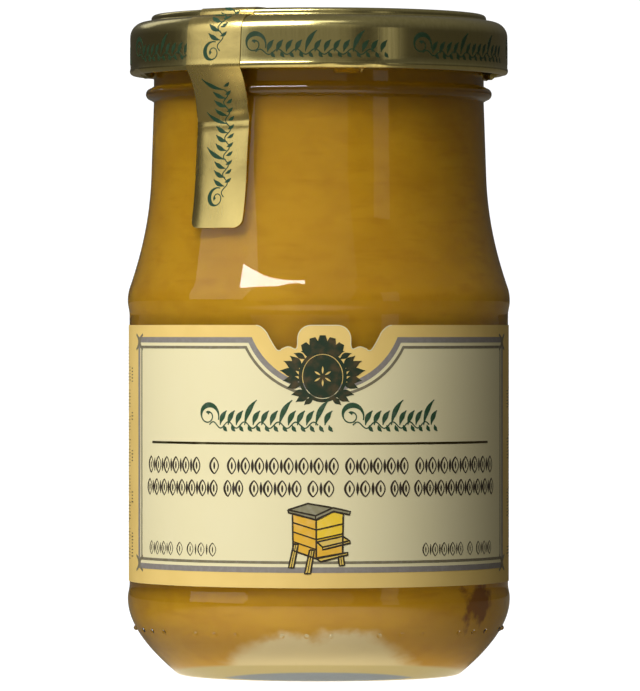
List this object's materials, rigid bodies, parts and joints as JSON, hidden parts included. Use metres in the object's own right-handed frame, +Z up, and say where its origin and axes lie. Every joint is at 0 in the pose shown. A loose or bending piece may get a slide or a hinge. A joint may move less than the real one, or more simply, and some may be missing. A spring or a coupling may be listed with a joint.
{
  "type": "mustard jar",
  "caption": "Clear glass jar of mustard with a waisted neck, twist-off metal lid, wrap-round paper label and foil seal strip.",
  "frame": {"origin": "centre of the foot, on the surface that the jar stands on", "axes": "+Z up along the jar's axis, label facing -Y"},
  "size_m": [0.0614, 0.0614, 0.1059],
  "materials": {
    "glass": "clear, smooth",
    "mustard": "smooth paste, seen through glass",
    "lid_metal": "gold lacquered sheet metal, satin",
    "label_paper": "matt printed paper",
    "seal_foil": "gold foil paper, lightly creased"
  },
  "bodies": {
    "root": {"jar": "glass", "mustard": "mustard", "lid": "lid_metal", "label": "label_paper", "seal": "seal_foil"}
  },
  "joints": []
}
